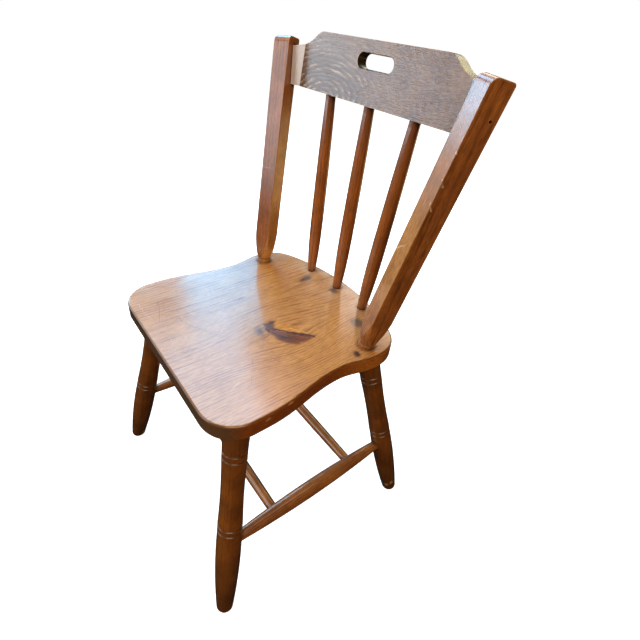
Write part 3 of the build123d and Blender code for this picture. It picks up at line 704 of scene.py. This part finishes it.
# Turned pine under dark stain and lacquer: red-brown, nearly without lines, with long bright gleams
legs = [name for name in nodes if "_leg_" in name]
for i, name in enumerate(legs):
    leg = pine(name, "turned", early="#844a18", late="#6a390f")
    tree = leg["tree"]
    figure(leg, ring_mm=5.0, pith_mm=(30 + 9 * i, 25 - 7 * i, 0))
    stain(leg, dark="#4a2608", end_grain="#2c1406", rubbed="#a06c34", blotch=0.55, dirt_and_shade=0.95, wear=0.65)
    # Painted shade: the legs are painted darker toward the floor
    floor_shade = add(tree, "SeparateXYZ", {"Vector": leg["place"]}, out="Z")
    floor_shade = {"Value": floor_shade, "From Min": FLOOR_SHADE_TOP, "From Max": 0.0}
    shade(leg, "#2a1405", 0.45, add(tree, "MapRange", floor_shade, interpolation_type="SMOOTHSTEP"))
    for middle, half in LEG_CHIPS.get(name, []):
        chip(leg, middle, half, "#b98d5e", 0.9)
    lacquer(leg, coat_roughness=0.14, bare=0.9)
print("legs finished:", ", ".join(legs))

# %% [markdown]
# ## Stretchers
# The stretchers are slim turned rods of the same wood. They could share the legs' finish, but feet
# rest on them: they are rubbed a shade lighter, and their lacquer is polished to a sharper gleam.

# %% Finish the stretchers
# Turned pine under stain and lacquer: mid brown, with a narrow gleam along each rod
rods = [name for name in nodes if "_stretcher_" in name]
for i, name in enumerate(rods):
    rod = pine(name, "turned", early="#a26630", late="#7b471b")
    figure(rod, ring_mm=4.0, pith_mm=(26 + 5 * i, 18, 0))
    stain(rod, dark="#5a2d0d", end_grain="#2c1406", rubbed="#b0793c", blotch=0.5)
    lacquer(rod, coat_roughness=0.1)
print("stretchers finished:", ", ".join(rods))

# %% [markdown]
# ## Posts
# The posts are planed square and twist down to a turned foot. The chair is lifted and moved by them,
# so below the crest rail their finish has changed: the left one's front and the right one's inner
# side are rubbed to amber, and the right one's front has darkened. One mask could wear both posts
# alike, but then they would look like copies. So a small table says which sides have changed.

# %% Rub the posts
# The right post's inner side faces the sitter's left
LEFT = (1, 0, 0)
# Each changed side, its colour, how strong that is, and how much of it there is at the foot
RUBBED = {
    "back_post_left": [(FRONT, "#c5894b", 0.95, 0.1)],
    "back_post_right": [(LEFT, "#c9883f", 0.75, 1.2), (FRONT, "#6b3a14", 0.4, 0.5)],
}
# How much of the lacquer is gone from each front
BARE_FRONT = {"back_post_left": 0.7, "back_post_right": 0.2}
RUBBED_FROM, RUBBED_FULLY = 0.75, 0.66
FOOT, WAIST = 0.48, 0.6


def touched(post, way):
    """A mask of the side that faces one way, below the crest rail."""
    tree = post["tree"]
    toward = {"Value": facing(post, way), "From Min": 0.4, "From Max": 0.7}
    toward = add(tree, "MapRange", toward, interpolation_type="SMOOTHSTEP")
    below = {"Value": post["height"], "From Min": RUBBED_FROM, "From Max": RUBBED_FULLY}
    below = add(tree, "MapRange", below, interpolation_type="SMOOTHSTEP")
    return add(tree, "Math", {0: toward, 1: below}, operation="MULTIPLY")


def rub(post):
    """Change the colour of the sides that are touched, and wear the lacquer off the front."""
    tree, name = post["tree"], post["name"]
    post["height"] = add(tree, "SeparateXYZ", {"Vector": post["loose"]}, out="Z")
    for way, colour, strength, at_foot in RUBBED[name]:
        lower = {"Value": post["height"], "From Min": FOOT, "From Max": WAIST, "To Min": at_foot}
        shade(post, colour, strength, touched(post, way), add(tree, "MapRange", lower))
    post["worn"] = {0: touched(post, FRONT), 1: BARE_FRONT[name]}
    post["worn"] = add(tree, "Math", post["worn"], operation="MULTIPLY")


print("the posts are rubbed below", RUBBED_FROM, "m")

# %% [markdown]
# ## Marks on the posts
# A few knocks went through the stain, and show as short pale strokes on the posts' edges. They could
# be dented into the mesh, but a dent this shallow wouldn't show, and its bare wood does. So each is a
# stroke of colour with a start, an end and a strength.

# %% Finish the posts
MARKS = {
    "back_post_left": [
        ((219, 153, 790), (223, 154, 785), 0.9), ((215, 148, 752), (217, 149, 742), 0.9),
        ((209, 142, 722), (212, 143, 708), 0.9), ((191, 133, 648), (173, 136, 634), 0.9),
    ],
    "back_post_right": [
        ((-203, 127, 646), (-176, 138, 650), 0.3), ((-216, 140, 730), (-212, 138, 712), 0.7),
    ],
}
MARK_MM = 3.6

# Planed pine under stain and lacquer: red-brown with lines along it, paler where it is handled
posts = [name for name in nodes if "_post_" in name]
for i, name in enumerate(posts):
    post = pine(name, "planed", early="#a8632b", late="#6f3b11")
    figure(post, ring_mm=5.0, pith_mm=(50, 30 + 20 * i, 0))
    rub(post)
    stain(post, dark="#552808", end_grain="#8a5a30", rubbed="#c08a52", fibre=0.5, blotch=0.4)
    for start, end, strength in MARKS[name]:
        shade(post, "#d9b48c", strength, stroke(post, start, end, MARK_MM))
    lacquer(post, relief_mm=0.2, skin_mm=0.06)
print("posts finished:", ", ".join(posts), "with marks:", [len(MARKS[name]) for name in posts])

# %% [markdown]
# ## Spindles
# The spindles are turned, red-brown and a little lighter than the legs. Under the crest rail they
# are painted darker, as painted shade from the rail. A colour ramp along each spindle would do, but
# since all three stand side by side, their height in the room does it for all at once.

# %% Finish the spindles
CREST_SHADE_START, CREST_SHADE_FULL = 0.7, 0.8

# Turned pine under stain and lacquer: warm red-brown, with a thin gleam down one side
spindles = [name for name in nodes if name.startswith("spindle")]
for i, name in enumerate(spindles):
    spindle = pine(name, "turned", early="#a05b24", late="#74400f")
    tree = spindle["tree"]
    figure(spindle, ring_mm=4.0, pith_mm=(24, 20 + 9 * i, 0))
    stain(spindle, dark="#5e2c0a", end_grain="#2c1406", rubbed="#b0793c", fibre=0.45)
    # Painted shade: the spindles are painted darker under the crest rail
    crest_shade = add(tree, "SeparateXYZ", {"Vector": spindle["place"]}, out="Z")
    crest_shade = {"Value": crest_shade, "From Min": CREST_SHADE_START, "From Max": CREST_SHADE_FULL}
    shade(spindle, "#5e361f", 0.7, add(tree, "MapRange", crest_shade, interpolation_type="SMOOTHSTEP"))
    lacquer(spindle)
print("spindles finished:", ", ".join(spindles))

# %% [markdown]
# ## The crest rail's figure
# The crest rail took its stain the other way round: the soft early wood drank it and went dark, and
# the hard late wood stayed pale. The same finish can do that, with the pale colour given to the late
# wood. The board was sawn across a leaning trunk, so its lines come out as arches. They are boldest
# low down by the right post, so a patch there makes the lines strong and the wood between them dark.

# %% Grow the crest rail
ARCHES_MIDDLE, ARCHES_REACH = (-108, 195, 795), (135, 300, 95)
FAINT, BOLD = 0.2, 1.4

# Planed pine under greyed stain and lacquer: pale lines on dull brown, and a broad soft sheen
crest = pine("crest_rail", "planed", early="#5c4333", late="#c8ae94")
tree = crest["tree"]
arches = add(tree, "MapRange", {"Value": patch(crest, ARCHES_MIDDLE, ARCHES_REACH), "From Max": 0.5})
strength = add(tree, "MapRange", {"Value": arches, "To Min": FAINT, "To Max": BOLD})
figure(crest, ring_mm=7.5, pith_mm=(0, 0, 90), waver=3.5, drift_mm=9.0, lean=0.65, strength=strength)
stain(crest, dark="#9a7a60", end_grain="#8a6236", rubbed="#b08a5c", fibre=0.6)
between = add(tree, "Math", {0: 1.0, 1: crest["latewood"]}, operation="SUBTRACT")
shade(crest, "#2c1a10", 0.6, between, arches)
print("the arches fade out within", ARCHES_REACH[0], "mm of their middle")

# %% [markdown]
# ## The crest rail's faces
# The facet beside the right post is painted pale grey, as a painted reflection, and the walls of the
# hand slot are painted dark, as painted shade. Both could be cut out as pieces with their own material.
# But a facet is known by the way it faces, and a slot's wall by its place and by not facing the front.

# %% Finish the crest rail
SLOT_MIDDLE, SLOT_REACH = (0, 215, 857), (55, 400, 19)

facet_reflection = {"Value": facing(crest, LEFT), "From Min": 0.1, "From Max": 0.3}
facet_reflection = add(tree, "MapRange", facet_reflection, interpolation_type="SMOOTHSTEP")
ahead = facing(crest, FRONT)
front = add(tree, "MapRange", {"Value": ahead, "From Min": 0.2, "From Max": 0.5})
# Painted reflection: the facet by the right post is laid over with pale grey
shade(crest, "#cfc3bc", 0.9, facet_reflection, front)
slot = patch(crest, SLOT_MIDDLE, SLOT_REACH, where="place")
slot = add(tree, "MapRange", {"Value": slot, "From Min": 0.02, "From Max": 0.1})
flat = add(tree, "Math", {0: ahead}, operation="ABSOLUTE")
slot_wall_shade = add(tree, "MapRange", {"Value": flat, "From Min": 0.9, "From Max": 0.6})
# Painted shade: the walls of the hand slot are laid over with near black
shade(crest, "#1e130b", 0.9, slot, slot_wall_shade)
lacquer(crest, coat_roughness=0.13, relief_mm=0.4, skin_mm=0.19)
print("crest rail finished")

# %% [markdown]
# ## The nails
# Two small steel nails hold the crest rail. Their heads are set below the surface, where they have
# dulled. Flat grey would do at this size, but from close by a head is spotted with grime, so a fine
# noise mixes two greys and makes the dirty spots rougher.

# %% Finish the nails
# Grime comes in spots of about 0.3 mm. These are 1.2 mm, the finest that shows
GRIME_MM = 1.2

# Drawn steel wire with a pressed head, gone dull: dark grey, with a faint, broken glint
steel = blank_material("drawn_dull_steel")
tree = steel.node_tree
place = add(tree, "TexCoord", {}, out="Object")
grime = add(tree, "TexNoise", {"Vector": place, "Scale": 1000 / GRIME_MM, "Detail": 3}, out="Fac")
grey = add(tree, "Mix", {0: grime, 6: linear("#4a4038"), 7: linear("#1c1713")}, out=2, data_type="RGBA")
rough = add(tree, "MapRange", {"Value": grime, "To Min": 0.4, "To Max": 0.7})
metal = add(tree, "BsdfPrincipled", {"Base Color": grey, "Metallic": 1.0, "Roughness": rough})
add(tree, "OutputMaterial", {"Surface": metal})
nodes["crest_nails"].data.materials.clear()
nodes["crest_nails"].data.materials.append(steel)
print("nails finished")
